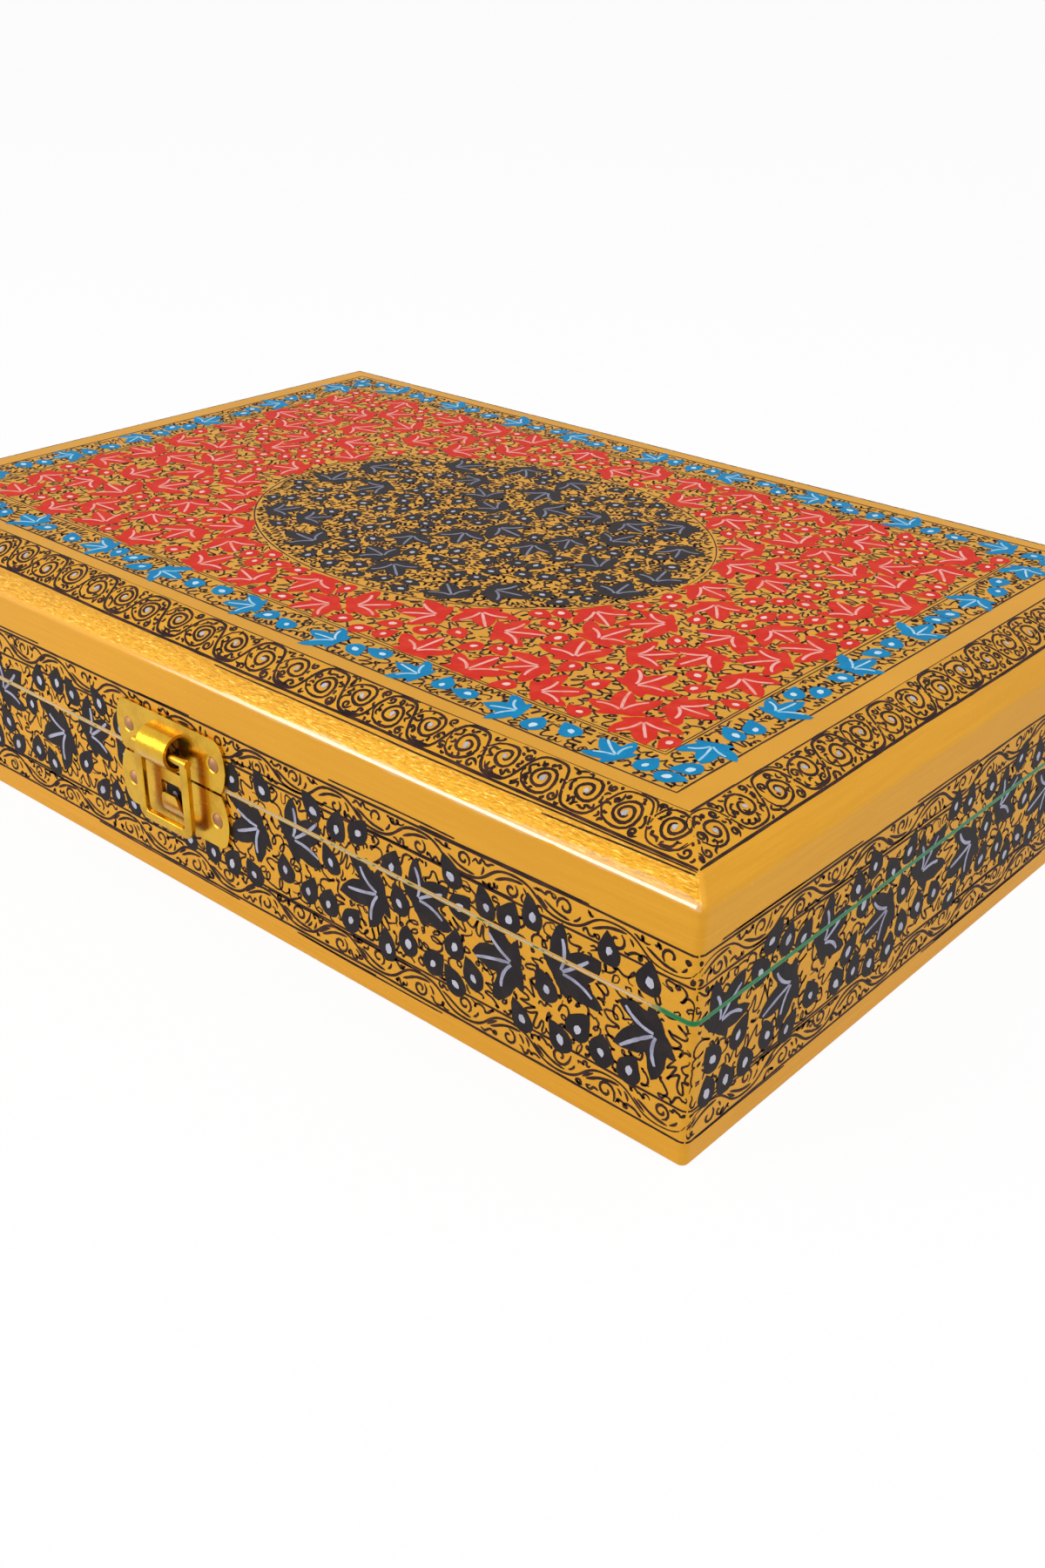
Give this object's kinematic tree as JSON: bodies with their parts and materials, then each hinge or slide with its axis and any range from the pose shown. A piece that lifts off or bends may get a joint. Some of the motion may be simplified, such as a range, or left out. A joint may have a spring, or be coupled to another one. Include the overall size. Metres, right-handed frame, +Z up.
{
  "type": "papier mache box",
  "caption": "Low rectangular papier mache box with a crowned hinged lid, painted leaf and scroll ornament on gold, and a brass loop latch at the front.",
  "frame": {"origin": "middle of the underside of the base, on the surface that the box stands on", "axes": "+Z up, +X along the box's length to the right as seen from the latch, the latch on the -Y side and the hinges on the +Y side"},
  "size_m": [0.302, 0.2159, 0.0668],
  "materials": {
    "gold_lacquer": "gold paint under clear varnish",
    "board_underside": "dark painted board",
    "green_rim": "emerald paint",
    "velvet": "short pile velvet",
    "latch_brass": "bright stamped brass",
    "hinge_brass": "bright stamped brass",
    "nail_steel": "dull coppered steel"
  },
  "bodies": {
    "base": {"base_front_wall": "gold_lacquer", "base_back_wall": "gold_lacquer", "base_left_wall": "gold_lacquer", "base_right_wall": "gold_lacquer", "base_floor": "board_underside", "base_rim_strip": "green_rim", "base_floor_velvet": "velvet", "base_wall_velvet": "velvet", "latch_lower_plate": "latch_brass", "hinge_left_base_leaf": "hinge_brass", "hinge_left_pin": "hinge_brass", "hinge_right_base_leaf": "hinge_brass", "hinge_right_pin": "hinge_brass", "latch_lower_nails": "nail_steel", "hinge_base_nails": "nail_steel"},
    "lid": {"lid_front_wall": "gold_lacquer", "lid_front_moulding": "gold_lacquer", "lid_back_wall": "gold_lacquer", "lid_back_moulding": "gold_lacquer", "lid_left_wall": "gold_lacquer", "lid_left_moulding": "gold_lacquer", "lid_right_wall": "gold_lacquer", "lid_right_moulding": "gold_lacquer", "lid_top_panel": "gold_lacquer", "lid_rim_strip": "green_rim", "lid_wall_velvet": "velvet", "lid_crown_velvet": "velvet", "latch_upper_plate": "latch_brass", "hinge_left_lid_leaf": "hinge_brass", "hinge_right_lid_leaf": "hinge_brass", "latch_upper_nails": "nail_steel", "hinge_lid_nails": "nail_steel"},
    "loop": {"latch_loop": "latch_brass"}
  },
  "joints": [
    {"name": "lid_hinge", "type": "hinge", "parent": "base", "child": "lid", "pos_m": [0, 0.10545, 0.0337], "axis": [-1, 0, 0], "range_deg": [0, 180]},
    {"name": "loop_hinge", "type": "hinge", "parent": "lid", "child": "loop", "pos_m": [0.0016, -0.10655, 0.0383], "axis": [-1, 0, 0], "range_deg": [-4, 175]}
  ]
}
